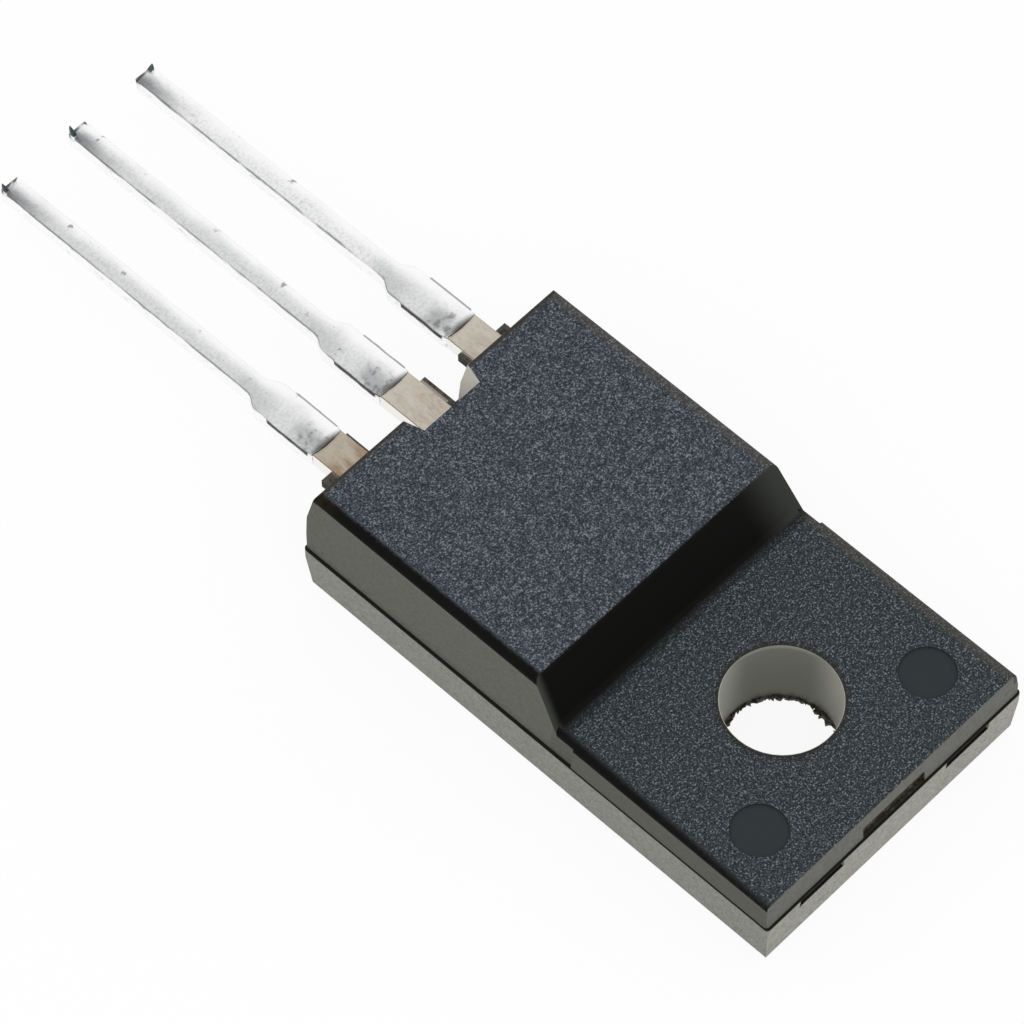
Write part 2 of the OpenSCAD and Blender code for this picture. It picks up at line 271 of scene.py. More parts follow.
def makeSoftbox(s):
    data = bpy.data.lights.new("softbox", "AREA")
    data.shape = "SQUARE"
    data.size = s["softboxSize"] * mm
    data.energy = s["softboxPower"]
    lamp = bpy.data.objects.new("softbox", data)
    bpy.context.scene.collection.objects.link(lamp)
    lamp.location = Vector(s["softboxPlace"]) * mm
    aim = (Vector(s["softboxAim"]) - Vector(s["softboxPlace"])) * mm
    lamp.rotation_euler = aim.to_track_quat("-Z", "Y").to_euler()


bpy.context.scene.view_settings.view_transform = "Standard"
makeCamera(studio)
makeWorld(studio)
makeFloor(studio)
makeSoftbox(studio)
print("studio ready")


# moulding

moulding = {
    # places, as part.scad has them; thickWall is half the width at the parting line,
    # thickFlat and tabFlat are half the widths of the two flat tops
    "tab": 2.7, "tabEnd": -4.0, "parting": 1.8, "slopeFoot": 3.6, "slopeTop": 4.43,
    "sideLean": math.tan(math.radians(6)), "thickWall": 4.77, "thickFlat": 4.375,
    "tabFlat": 4.582, "hole": 1.625, "markX": 3.2, "markY": -2.17, "markRadius": 0.775,
    "gateHalf": 1.15,

    # colours
    "pit": srgb(20, 26, 32), "grain": srgb(72, 78, 86), "paintedGlint": srgb(138, 146, 154),
    "tabPit": srgb(10, 16, 19), "tabGrain": srgb(55, 62, 67), "tabPaintedGlint": srgb(136, 145, 150),
    # the polished plastic is painted as dark as its shade, and the slope's ends get a painted
    # highlight
    "edgeTint": srgb(78, 72, 62), "smooth": srgb(12, 13, 11), "slopeHighlight": srgb(62, 64, 60),
    # the walls are painted light: lighter below the parting line and on the end
    "mark": srgb(50, 56, 58), "upperSide": srgb(95, 96, 89), "lowerSide": srgb(142, 143, 136),
    "upperEnd": srgb(106, 106, 102), "lowerEnd": srgb(166, 165, 156),
    # the near black of the parting groove is painted shade
    "wallSpot": srgb(68, 68, 62), "line": srgb(14, 12, 8), "leadRim": srgb(36, 29, 20),
    "back": srgb(50, 52, 52), "backSpot": srgb(66, 68, 67),
    # the hole wall is painted light, lighter still where painted highlights fall
    "holeWall": srgb(118, 119, 110), "holeHighlight": srgb(200, 200, 188),
    # the recess wall is painted pale as light
    "holeRim": srgb(26, 20, 15), "gate": srgb(40, 34, 25), "recess": srgb(206, 203, 194),
    "flash": srgb(34, 31, 25), "flashTop": srgb(96, 91, 82), "flashSkin": srgb(178, 174, 166),

    # surface: strength and depth of the relief, roughness, gloss
    "relief": (0.8, 0.02), "spotRelief": 0.15, "rough": 0.62, "polish": 0.12,
    "grainGloss": 0.25, "smoothGloss": 0.05,

    # noises: how many to a millimetre, or to a grain for the first two, detail, roughness
    "grainSize": 0.049, "fine": (1.0, 1.0, 0.6), "coarse": (0.4, 2.0, 0.6), "fineShare": 0.7,
    "spots": (5.0, 4.0, 0.65), "scar": (7.0, 3.0, 0.7), "mottle": (14.0, 2.0, 0.7),
    "wobbleFine": 0.22, "wobbleCoarse": 0.16,

    # steps and bands from here on, in mm, on a noise, or on the surface's direction
    "tabFrom": (0.1, 0.1, 1), "upperFrom": (2.3, 0.1, 1), "leftFrom": (0.0, 0.2, 1),
    "lowerFrom": (0.01, 0.02, 1), "topFacing": (0.55, 0.3, 1),

    # grain of the top faces with painted glints, warmer along the right edges and the lead end
    "hollows": (0.48, 0.26, 1), "glints": (0.6, 0.12, 0.7),
    "rightEdge": (-0.14, 0.16, 0.45), "leadEdge": (-0.34, 0.1, 0.45),

    # walls, painted lighter below the parting and on the end, and the painted shade of the groove
    # at the parting
    "endFacing": (-0.7, 0.3, 1), "tabSideShade": 0.45,
    "wallSpots": (0.48, 0.2, 0.15), "wallMottle": (0.5, 0.24, 0.35),
    "ledgeFacing": (0.7, 0.1, 1), "lineBand": (-0.04, 0.03, 0.03),

    # painted shade on the polished rims, which widen along the tab
    "thickRimWidth": 0.1, "tabRimWidth": 0.05, "tabRimGrowth": 0.024,
    "thickRim": (0.0, 0.12, 1), "tabRim": (0.02, 0.26, 1), "leftRimFacing": (0.18, 0.08, 1),
    "rightRimShade": (0.05, 0.04, 1), "rightRimBand": (0.1, 0.72, 0.1),
    "rimNotAtEnd": (0.25, 0.2, 1),
    "leadRimFrom": (-0.32, 0.05, 0.7), "leadRimAbove": (3.9, 0.06, 1),
    "wornFrom": (-0.7, 0.9, 1), "wornScar": (0.4, 0.3, 1),

    # slope painted dark as shade, the painted shade at its foot, its ends lighter as painted
    # highlights
    "footNear": (-0.34, 0.06, 0.4), "footWide": (-0.14, 0.5, 0.55), "footEnd": (0.0, 0.5, 1),
    "slopeFacing": (-0.12, 0.15, 1), "slopeFrom": (-0.2, 0.12, 1), "slopeTo": (0.12, 0.12, 1),
    "leftHighlight": (0.16, 0.32, 1), "rightHighlight": (0.8, 1.7, 0.85),

    # hole with the painted light on its wall, ejector marks, broken-off gate
    "holeEdge": (0.01, 0.01, 1), "holeRimEdge": (0.13, 0.16, 0.8),
    "holeHighlightSides": (0.195, 1.5, 0.85), "holeHighlightTop": (-0.12, 0.1, 0.25),
    "markEdge": (0.005, 0.01, 1), "gateFrom": (0.3, 0.02, 1), "gateSides": (0.03, 0.02, 1),
    "gateBand": (0.02, 0.44, 0.02), "gateScar": (0.42, 0.2, 1),

    # recess at the middle lead, its wall painted pale as light, flash beside the leads and its
    # thin skin
    "recessSides": (1.3, 0.02, 1), "recessFrom": (-0.9, 0.02, 1),
    "recessFacing": (0.7, 0.1, 1), "recessAbove": (2.35, 0.05, 1),
    "flashFrom": (0.01, 0.02, 1), "flashFacing": (0.7, 0.2, 1), "flashScar": (0.45, 0.3, 0.8),
    "skinSides": (0.68, 0.06, 0.8), "skinBand": (-1.0, 1.0, 0.1),

    # back
    "backFacing": (-0.6, 0.1, 1), "backMottle": (0.5, 0.3, 0.5), "backSpots": (0.5, 0.3, 0.3),
}


def mouldingFields(wire, s):
    # the places, noises and regions that the parts of the moulding's look share
    place = objectPlace(wire)
    x, y, z = axes(wire, place)
    _, ny, nz = facing(wire)
    fine, coarse = (
        noise(wire, place, share / s["grainSize"], detail, rough)
        for share, detail, rough in (s["fine"], s["coarse"]))
    onTab = y.under(s["tabFrom"], s["slopeFoot"])
    upper = z.over(s["upperFrom"])
    return SimpleNamespace(
        x=x, y=y, z=z, ax=abs(x), ny=ny, nz=nz,
        mixed=fine * s["fineShare"] + coarse * (1 - s["fineShare"]),
        wobble=swing(fine, s["wobbleFine"]) + swing(coarse, s["wobbleCoarse"]),
        spots=noise(wire, place, *s["spots"]),
        scar=noise(wire, place, *s["scar"]),
        mottle=noise(wire, place, *s["mottle"]),
        onTab=onTab, upper=upper, left=x.under(s["leftFrom"]),
        top=nz.over(s["topFacing"]) * upper,
        lower=z.under(s["lowerFrom"], s["parting"]),
        # how far past the side edge of the flat top
        past=abs(x) - (onTab * (s["tabFlat"] - s["thickFlat"]) + s["thickFlat"]))


def mouldingGrain(f, s):
    # a spark-eroded mould leaves fine pits; the facets that catch the light are painted as bright
    # glints
    hollow, glint = f.mixed.over(s["hollows"]), f.mixed.over(s["glints"])
    grain = glint.blend(hollow.blend(s["pit"], s["grain"]), s["paintedGlint"])
    tabGrain = glint.blend(hollow.blend(s["tabPit"], s["tabGrain"]), s["tabPaintedGlint"])
    rightEdge = f.past.over(s["rightEdge"]) * (1 - f.left)
    leadEdge = f.y.over(s["leadEdge"], leads["bodyEnd"])
    return rightEdge.most(leadEdge).blend(f.onTab.blend(grain, tabGrain), s["edgeTint"])


def mouldingWalls(f, s):
    # mottled, with painted light: darker above the parting line than below it, and lighter on the
    # end than on the sides
    ends = f.ny.under(s["endFacing"])
    wall = f.lower.blend(ends.blend(s["upperSide"], s["upperEnd"]),
                         ends.blend(s["lowerSide"], s["lowerEnd"]))
    tabSide = f.onTab * (1 - f.lower) * (1 - ends)
    wall = (tabSide * s["tabSideShade"]).blend(wall, s["wallSpot"])
    spotted = f.spots.under(s["wallSpots"]) + f.mottle.under(s["wallMottle"])
    wall = spotted.blend(wall, s["wallSpot"])
    # painted shade in the groove at the parting line and on the ledge below it
    ledge = f.nz.over(s["ledgeFacing"]) * f.lower
    line = f.z.between(s["lineBand"], s["parting"])
    return line.most(ledge).blend(wall, s["line"])


def mouldingRimShade(f, s):
    # painted shade on the polished rims: wide along the left rims, thin along the right ones
    tabWidth = f.y * s["tabRimGrowth"] + s["tabRimWidth"]
    width = f.onTab * tabWidth + (1 - f.onTab) * s["thickRimWidth"]
    inward = f.past + width + f.wobble
    band = inward.over(s["thickRim"]) * (1 - f.onTab) + inward.over(s["tabRim"]) * f.onTab
    leftRimShade = f.left * band * f.nz.over(s["leftRimFacing"])
    rightRimShade = (1 - f.left) * f.past.over(s["rightRimShade"]) * f.nz.between(s["rightRimBand"])
    # painted shade that runs out from the foot of the slope
    footShade = f.y.over(s["footNear"], s["slopeFoot"])
    footShade = footShade + (f.y + f.wobble).over(s["footWide"], s["slopeFoot"])
    footShade = footShade * f.y.under(s["footEnd"], s["slopeTop"]) * f.onTab * f.top
    return (leftRimShade.most(rightRimShade) * f.ny.under(s["rimNotAtEnd"])).most(footShade) * f.upper


def mouldingSlope(f, s):
    # polished and painted as dark as shade, with painted highlights where it rounds over to the
    # sides
    onSlope = f.ny.under(s["slopeFacing"]) * f.y.over(
        s["slopeFrom"], s["slopeFoot"]) * f.y.under(s["slopeTo"], s["slopeTop"])
    fromSide = s["thickWall"] - (f.z - s["parting"]) * s["sideLean"] - f.ax
    glow = f.left * fromSide.under(s["leftHighlight"]) + (1 - f.left) * fromSide.under(s["rightHighlight"])
    return onSlope, glow.blend(s["smooth"], s["slopeHighlight"])


def mouldingHole(f, s, colour):
    radius = f.x.length(f.y)
    inHole = radius.under(s["holeEdge"], s["hole"])
    rim = (radius + f.wobble).under(s["holeRimEdge"], s["hole"]) * (1 - inHole)
    # painted light: the wall is a lit grey, lighter towards its two sides and along its upper rim
    wallHighlight = abs(f.x - f.y).over(s["holeHighlightSides"], s["hole"]).most(
        f.z.over(s["holeHighlightTop"], s["tab"]))
    wall = wallHighlight.blend(s["holeWall"], s["holeHighlight"])
    return inHole, inHole.blend(rim.blend(colour, s["holeRim"]), wall)


def mouldingLeadEnd(f, s, colour):
    # recess at the middle lead, its wall painted pale as light, and the flash beside all three
    inRecess = f.ax.under(s["recessSides"]) * f.y.over(s["recessFrom"], leads["bodyEnd"])
    inRecess = inRecess * f.nz.under(s["recessFacing"]) * f.z.over(s["recessAbove"])
    colour = inRecess.blend(colour, s["recess"])
    skinned = abs(acrossLead(f.x)).under(s["skinSides"]) * f.x.between(s["skinBand"])
    skin = f.scar.over(s["flashScar"]).blend(s["flash"], s["flashTop"])
    skin = skinned.blend(skin, s["flashSkin"])
    flash = f.nz.over(s["flashFacing"]).blend(s["flash"], skin)
    return f.y.over(s["flashFrom"], leads["bodyEnd"]).blend(colour, flash)


def mouldingMaterial(s):
    material, wire = newMaterial("moulding_compound")
    f = mouldingFields(wire, s)
    colour = f.top.blend(mouldingWalls(f, s), mouldingGrain(f, s))
    leadRim = f.y.over(s["leadRimFrom"], leads["bodyEnd"]) * f.z.over(s["leadRimAbove"])
    colour = leadRim.blend(colour, s["leadRim"])
    # painted shade on the rims and at the slope's foot, in the polished plastic's dark colour,
    # browner where worn near the lead end
    dark = mouldingRimShade(f, s)
    worn = f.left * f.y.over(s["wornFrom"], leads["bodyEnd"]) * f.scar.over(s["wornScar"])
    colour = dark.blend(colour, worn.blend(s["smooth"], s["leadRim"]))
    onSlope, slopeColour = mouldingSlope(f, s)
    colour = onSlope.blend(colour, slopeColour)
    inHole, colour = mouldingHole(f, s, colour)

    # ejector marks and broken-off gate
    fromMark = (f.ax - s["markX"]).length(f.y - s["markY"])
    inMark = fromMark.under(s["markEdge"], s["markRadius"]) * f.upper
    colour = inMark.blend(colour, s["mark"])
    gate = f.y.under(s["gateFrom"], s["tabEnd"]) * f.ax.under(s["gateSides"], s["gateHalf"])
    gate = gate * f.z.between(s["gateBand"], s["parting"]) * f.scar.over(s["gateScar"])
    colour = gate.blend(colour, s["gate"])

    colour = mouldingLeadEnd(f, s, colour)
    clouded = f.mottle.over(s["backMottle"]) + f.spots.over(s["backSpots"])
    back = clouded.blend(s["back"], s["backSpot"])
    colour = f.nz.under(s["backFacing"]).blend(colour, back)

    smooth = dark.most(inHole).most(inMark).most(onSlope)
    relief = bump(wire, s["relief"], f.mixed * f.top * (1 - smooth) + f.spots * s["spotRelief"])
    rough = s["rough"] - smooth * s["polish"]
    grained, polished = (
        surface(wire, colour, rough, relief, **{"Specular IOR Level": s[gloss]})
        for gloss in ("grainGloss", "smoothGloss"))
    dark.most(onSlope).most(inMark).choose(grained, polished).finish()
    return material


dress("moulded_body", mouldingMaterial(moulding))
print("moulding dressed")


# bare copper alloy of the leads

bareLead = {
    "bare": srgb(180, 171, 156), "bareGrey": srgb(196, 189, 178), "stain": srgb(148, 122, 96),
    "worn": srgb(150, 142, 128), "flankHighlight": srgb(250, 248, 244), "rimLine": srgb(112, 84, 60),
    "cut": srgb(70, 76, 76),
    "relief": (0.4, 0.01), "rough": 0.34, "roughSwing": 0.1,
    # noises, both drawn out along the leads
    "cloud": (2.4, 3.0, 0.6), "brush": (16.0, 3.0, 0.7), "drawnOut": 0.35,
    # steps; the load lead, on its side of the first, is stained most
    "loadSide": (-1.3, 0.2, 1), "stainCloud": (0.46, 0.2, 0.8), "stainEnd": (0.85, 0.8, 1),
    "stainElsewhere": 0.4, "brushClean": (0.5, 0.3, 0.45), "brushWorn": (0.42, 0.16, 0.35),
    "flankFacing": (0.3, 0.2, 1), "rimFrom": (-0.505, 0.02, 0.7), "rimFacing": (0.6, 0.1, 1),
    "cutFrom": (-0.03, 0.02, 1), "cutSide": (-0.05, 0.3, 1), "cutAbove": (2.7, 0.1, 1),
}


def bareLeadMaterial(s):
    material, wire = newMaterial("bare_lead")
    place = objectPlace(wire)
    x, y, z = axes(wire, place)
    _, _, nz = facing(wire)
    along = stretched(wire, place, s["drawnOut"])
    cloud, brush = noise(wire, along, *s["cloud"]), noise(wire, along, *s["brush"])
    onLoad = x.under(s["loadSide"])
    clean = onLoad.blend(s["bareGrey"], s["bare"])
    stain = cloud.over(s["stainCloud"]) * y.under(s["stainEnd"], leads["bodyEnd"])
    stain = (stain * onLoad + stain * s["stainElsewhere"]).least(1.0)
    colour = stain.blend(clean, s["stain"])
    colour = brush.over(s["brushClean"]).blend(colour, clean)
    colour = brush.under(s["brushWorn"]).blend(colour, s["worn"])
    # the flanks are painted near white as a highlight
    colour = nz.under(s["flankFacing"]).blend(colour, s["flankHighlight"])
    across = acrossLead(x)
    rim = across.under(s["rimFrom"]) * nz.over(s["rimFacing"])
    colour = rim.blend(colour, s["rimLine"])
    cut = y.over(s["cutFrom"], leads["tip"]) * across.under(s["cutSide"])
    colour = (cut * z.over(s["cutAbove"])).blend(colour, s["cut"])
    surface(wire, colour, cloud * s["roughSwing"] + s["rough"],
            bump(wire, s["relief"], brush), Metallic=1.0).finish()
    return material


bare = bareLeadMaterial(bareLead)
for node in ("header_with_middle_lead", "control_lead", "load_lead"):
    dress(node, bare)


# metals inside the moulding

innerMetals = {
    "relief": (0.3, 0.01), "roughSwing": 0.1, "patchStep": (0.5, 0.4, 1),
    # material, its nodes, colour, roughness, how dark its patches are, their noise
    "rows": (
        ("die_solder", ("die_attach",), srgb(150, 152, 156), 0.45, 0.2, (3.0, 3.0, 0.6)),
        ("silicon", ("silicon_die",), srgb(70, 75, 92), 0.2, 0.1, (2.0, 3.0, 0.6)),
        ("bond_wire", ("thin_wire", "thick_wire_inner", "thick_wire_outer"),
         srgb(215, 216, 219), 0.35, 0.1, (8.0, 3.0, 0.6)),
    ),
}


def innerMetalMaterial(s, name, colour, rough, dark, patchNoise):
    material, wire = newMaterial(name)
    patches = noise(wire, objectPlace(wire), *patchNoise)
    darker = tuple(v * (1 - dark) for v in colour[:3]) + (1.0,)
    surface(wire, patches.over(s["patchStep"]).blend(darker, colour),
            patches * s["roughSwing"] + rough,
            bump(wire, s["relief"], patches), Metallic=1.0).finish()
    return material


for name, nodes, *look in innerMetals["rows"]:
    inner = innerMetalMaterial(innerMetals, name, *look)
    for node in nodes:
        dress(node, inner)
print("metals dressed")


def selectWhere(piece, kind, test):
    # selects the points or faces whose place in mm passes, and leaves edit mode on
    bpy.ops.object.mode_set(mode="EDIT")
    bpy.ops.mesh.select_mode(type="VERT")
    bpy.ops.mesh.select_all(action="DESELECT")
    bpy.ops.object.mode_set(mode="OBJECT")
    items = piece.data.vertices if kind == "VERT" else piece.data.polygons
    for item in items:
        item.select = test((item.co if kind == "VERT" else item.center) / mm)
    bpy.ops.object.mode_set(mode="EDIT")
    bpy.ops.mesh.select_mode(type=kind)


def applyAll(piece):
    for modifier in list(piece.modifiers):
        bpy.ops.object.modifier_apply(modifier=modifier.name)


# dipped solder

solder = {
    # shape: places along the lead, heights, half widths
    "front": 13.95, "damStart": 14.1, "damRise": 0.02, "damEnd": 15.63, "damFall": 0.03,
    "shoulder": 16.1, "narrow": 16.6, "shoulderSteps": 6, "tip": 26.075,
    "low": 2.375, "high": 2.875, "wideHalf": 0.565, "damHalf": 0.59, "narrowHalf": 0.32,
    # columns across it, raised to a crown and pushed forward to a bulge
    "columns": 6, "columnReach": 0.01, "crown": 0.035, "bulge": 0.07,
    "voxel": 0.034, "soften": 0.5, "softenTimes": 5,
    "lumps": 0.03, "lumpSize": 0.5, "lumpDetail": 2, "fineLumps": 0.25,
    # burrs: each step is a share of the reach and how far it narrows
    "burrWidth": 0.15, "burrSteps": ((0.4, 0.75), (0.35, 0.6), (0.25, 0.25)),

    # colours; the flanks are painted pure white as a highlight, and the grey is painted shade
    "bright": srgb(249, 249, 249), "side": (1, 1, 1, 1), "shadeGrey": srgb(176, 177, 178),
    # the dark of the front lip is painted shade
    "speck": srgb(146, 148, 151), "pit": srgb(92, 94, 96), "meniscusShade": srgb(86, 84, 81),
    "sheared": srgb(48, 47, 44), "cut": srgb(74, 86, 87),
    "relief": (0.5, 0.02), "gritRelief": 0.4, "rough": 0.22, "roughSwing": 0.15,
    # noises, the first one drawn out along the leads
    "cloud": (1.8, 3.0, 0.6), "drawnOut": 0.5, "grit": (10.0, 3.0, 0.75),
    "nearPits": (5.0, 2.0, 0.5), "farPits": (2.7, 3.0, 0.6),

    # steps and bands from here on: wide part, faces that look up
    "wideEnd": (0.0, 0.4, 1), "upFacing": (0.3, 0.4, 1),
    # painted shade, greyer towards the coat's one edge; wideGrey is how grey the wide part gets
    "edgeShadeSwing": 1.1, "edgeShadeStep": (0.2, 1.45, 1), "wideGrey": 0.45, "wideGreyEnd": (0.2, 0.9, 1),
    "speckGrit": (0.47, 0.24, 0.3),
    # painted shade along the side edge, at the shoulder and at the tip
    "sideShadeBand": (0.1, 0.85, 0.2), "sideShadeFacing": (-0.15, 0.2, 1), "sideShadeCloud": (0.45, 0.3, 0.7),
    "shoulderShadeFrom": (-0.3, 0.7, 1), "shoulderShadeTo": (0.5, 0.7, 1), "shoulderShadeSide": (0.1, 1.2, 0.4),
    "tipShadeSwing": 1.0, "tipShadeFrom": (-1.1, 2.4, 1), "tipShadeSide": (-0.1, 1.3, 0.85),
    # pits, most of them near the front, darker patches there on one side, and the painted shade of
    # the rounded lip at the front
    "nearEnd": (0.75, 0.5, 1), "nearSide": (0.3, 0.6, 1),
    "nearPitDepth": (0.6, 0.18, 0.8), "farPitDepth": (0.7, 0.1, 0.85), "pitShare": 0.75,
    "frontDarkCloud": (0.42, 0.24, 0.45), "frontDarkSide": (0.1, 1.0, 1),
    "lipBow": 0.1, "lipEnd": (0.07, 0.26, 1),
    # sheared ends of the dam bar, cut tip, burrs
    "shearedSide": (0.06, 0.04, 1), "shearedBand": (-0.5, 0.45, 0.2),
    "shearedAbove": (-0.17, 0.06, 1), "farEdge": (-0.045, 0.04, 0.6), "damSoft": 0.06,
    "cutRagged": 0.1, "cutFrom": (-0.04, 0.06, 1), "cutSide": (0.1, 0.8, 1),
    "cutAbove": (-0.1, 0.1, 1), "burrAbove": (0.07, 0.04, 1),
}
touch = 0.001  # closer than this counts as the same place, in mm

# each coat: its lead, how grey the painted shade on its narrow part is, and its burrs, which are
# a place measured from the lead's middle and a reach
coats = (
    {"name": "solder_coat_load", "node": "solder_load", "side": -1, "narrowGrey": 0.5,
     "burrs": (((-0.25, 25.93, 2.8), (-0.06, 0.06, 0.38)),
               ((-0.24, 25.97, 2.82), (0.36, 0.02, 0.14)))},
    {"name": "solder_coat_middle", "node": "solder_middle", "side": 0, "narrowGrey": 0.5,
     "burrs": (((-0.25, 25.93, 2.8), (-0.06, 0.06, 0.48)),
               ((0.16, 25.97, 2.8), (0.08, 0.02, 0.1)))},
    {"name": "solder_coat_control", "node": "solder_control", "side": 1, "narrowGrey": 0.22,
     "burrs": (((-0.25, 25.97, 2.8), (0.5, 0.02, 0.1)),
               ((0.16, 25.97, 2.84), (0.1, 0.02, 0.2)))},
)


def makeBurr(s, start, reach):
    # a thorn left by the shear, drawn out of a small block and tapered
    bpy.ops.object.select_all(action="DESELECT")
    bpy.ops.mesh.primitive_cube_add(size=s["burrWidth"] * mm, location=Vector(start) * mm)
    burr = bpy.context.object
    bpy.ops.object.transform_apply(location=True, rotation=True, scale=True)
    axis = max(range(3), key=lambda i: abs(reach[i]))
    side = math.copysign(1, reach[axis])
    middle, toFace = Vector(start), s["burrWidth"] / 2
    selectWhere(burr, "FACE", lambda c: (c - middle)[axis] * side > toFace - touch)
    for share, taper in s["burrSteps"]:
        bpy.ops.mesh.extrude_region_move(
            TRANSFORM_OT_translate={"value": Vector(reach) * share * mm})
        bpy.ops.transform.resize(value=(taper, taper, taper))
    bpy.ops.object.mode_set(mode="OBJECT")
    return burr


def drawOut(s, piece, x):
    # drawn out along the lead, a step at a time: dam bar, shoulder, narrow part
    half = s["wideHalf"]
    steps = [(s["damStart"] + s["damRise"], s["damHalf"]), (s["damEnd"], s["damHalf"]),
             (s["damEnd"] + s["damFall"], half), (s["shoulder"], half)]
    for i in range(1, s["shoulderSteps"] + 1):
        t = i / s["shoulderSteps"]
        steps.append((s["shoulder"] + (s["narrow"] - s["shoulder"]) * t,
                      half - (half - s["narrowHalf"]) * (1 - math.cos(math.pi * t)) / 2))
    steps.append((s["tip"], s["narrowHalf"]))
    at, width = s["damStart"], half
    for y, nextHalf in steps:
        selectWhere(piece, "FACE", lambda c: c.y > at - touch)
        bpy.ops.mesh.extrude_region_move(TRANSFORM_OT_translate={"value": (0, (y - at) * mm, 0)})
        bpy.ops.transform.resize(
            value=(nextHalf / width, 1, 1), center_override=(x * mm, y * mm, 0))
        at, width = y, nextHalf


def crownUp(s, piece, x):
    # upright columns across it, raised to a crown and pushed out to a rounded front
    shares = [2 * i / s["columns"] - 1 for i in range(1, s["columns"])]
    for share in shares:
        bpy.ops.mesh.select_all(action="SELECT")
        bpy.ops.mesh.bisect(
            plane_co=((x + s["wideHalf"] * share) * mm, 0, 0), plane_no=(1, 0, 0))
    for share in shares:
        column, rise = x + s["wideHalf"] * share, 1 - share ** 2
        selectWhere(piece, "VERT", lambda c: abs(c.x - column) < s["columnReach"]
                    and c.z > s["high"] - touch)
        bpy.ops.transform.translate(value=(0, 0, s["crown"] * rise * mm))
        selectWhere(piece, "VERT", lambda c: abs(c.x - column) < s["columnReach"]
                    and c.y < s["front"] + touch)
        bpy.ops.transform.translate(value=(0, -s["bulge"] * rise * mm, 0))
    bpy.ops.object.mode_set(mode="OBJECT")


def makeLumpy(s, piece):
    # remeshed evenly, edges softened, then large and small lumps
    even = piece.modifiers.new("even", "REMESH")
    even.mode = "VOXEL"
    even.voxel_size = s["voxel"] * mm
    soften = piece.modifiers.new("soften", "SMOOTH")
    soften.factor = s["soften"]
    soften.iterations = s["softenTimes"]
    for share in (1.0, s["fineLumps"]):
        texture = bpy.data.textures.new(piece.name + "_lumps", "CLOUDS")
        texture.noise_scale = s["lumpSize"] * share * mm
        texture.noise_depth = s["lumpDetail"]
        lumps = piece.modifiers.new("lumps", "DISPLACE")
        lumps.texture = texture
        lumps.texture_coords = "LOCAL"
        lumps.strength = s["lumps"] * share * mm
        lumps.mid_level = 0.5  # as far in as out
    applyAll(piece)


def makeSolder(s, coat):
    x = coat["side"] * leads["pitch"]
    bpy.ops.object.select_all(action="DESELECT")
    bpy.ops.mesh.primitive_cube_add(size=1.0, location=Vector((
        x, (s["front"] + s["damStart"]) / 2, (s["low"] + s["high"]) / 2)) * mm)
    piece = bpy.context.object
    piece.name = coat["name"]
    piece.scale = Vector((
        2 * s["wideHalf"], s["damStart"] - s["front"], s["high"] - s["low"])) * mm
    bpy.ops.object.transform_apply(location=True, rotation=True, scale=True)
    drawOut(s, piece, x)
    crownUp(s, piece, x)
    makeLumpy(s, piece)

    burrs = [makeBurr(s, (x + dx, y, z), reach) for (dx, y, z), reach in coat["burrs"]]
    bpy.ops.object.select_all(action="DESELECT")
    for part in burrs + [piece]:
        part.select_set(True)
    bpy.context.view_layer.objects.active = piece
    bpy.ops.object.join()
    bpy.ops.object.shade_smooth()
    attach(piece, "root")
    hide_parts(coat["node"])
    piece.data.materials.append(solderMaterial(s, coat))
    return piece


def solderFields(wire, s, coat):
    # the places, noises and regions that the parts of a coat's look share
    place = objectPlace(wire)
    x, y, z = axes(wire, place)
    nx, _, nz = facing(wire)
    across = x - coat["side"] * leads["pitch"]
    wide = y.under(s["wideEnd"], (s["shoulder"] + s["narrow"]) / 2)
    share = across / (wide * (s["wideHalf"] - s["narrowHalf"]) + s["narrowHalf"])
    return SimpleNamespace(
        place=place, y=y, z=z, nx=nx, nz=nz, across=across,
        # -1 and 1 at the two edges of the coat
        share=share,
        cloud=noise(wire, stretched(wire, place, s["drawnOut"]), *s["cloud"]),
        grit=noise(wire, place, *s["grit"]),
        facingUp=nz.over(s["upFacing"]))


def solderSheen(f, s, narrowGrey):
    # bright, with painted shade: greyer towards one edge, along the side edge, at the shoulder and
    # at the tip
    edgeShade = (f.share + swing(f.cloud, s["edgeShadeSwing"])).under(s["edgeShadeStep"]) * f.facingUp
    greyness = f.y.under(s["wideGreyEnd"], s["narrow"]) * (s["wideGrey"] - narrowGrey) + narrowGrey
    # the flanks are painted pure white as a highlight
    colour = f.facingUp.blend(s["side"], (edgeShade * greyness).blend(s["bright"], s["shadeGrey"]))
    # painted shade along the side edge
    sideEdgeShade = f.nz.between(s["sideShadeBand"]) * f.nx.under(s["sideShadeFacing"])
    colour = (sideEdgeShade * f.cloud.over(s["sideShadeCloud"])).blend(colour, s["pit"])
    # painted shade round the shoulder, on one side
    shoulder = f.y.over(s["shoulderShadeFrom"], s["shoulder"]) * f.y.under(s["shoulderShadeTo"], s["narrow"])
    shoulder = shoulder * f.share.under(s["shoulderShadeSide"]) * f.facingUp
    colour = shoulder.blend(colour, s["shadeGrey"])
    colour = (f.grit.under(s["speckGrit"]) * edgeShade).blend(colour, s["speck"])
    # painted shade near the tip, on one side
    tipShade = (f.share + swing(f.cloud, s["tipShadeSwing"])).under(s["tipShadeSide"]) * f.facingUp
    return (tipShade * f.y.over(s["tipShadeFrom"], s["tip"])).blend(colour, s["pit"])


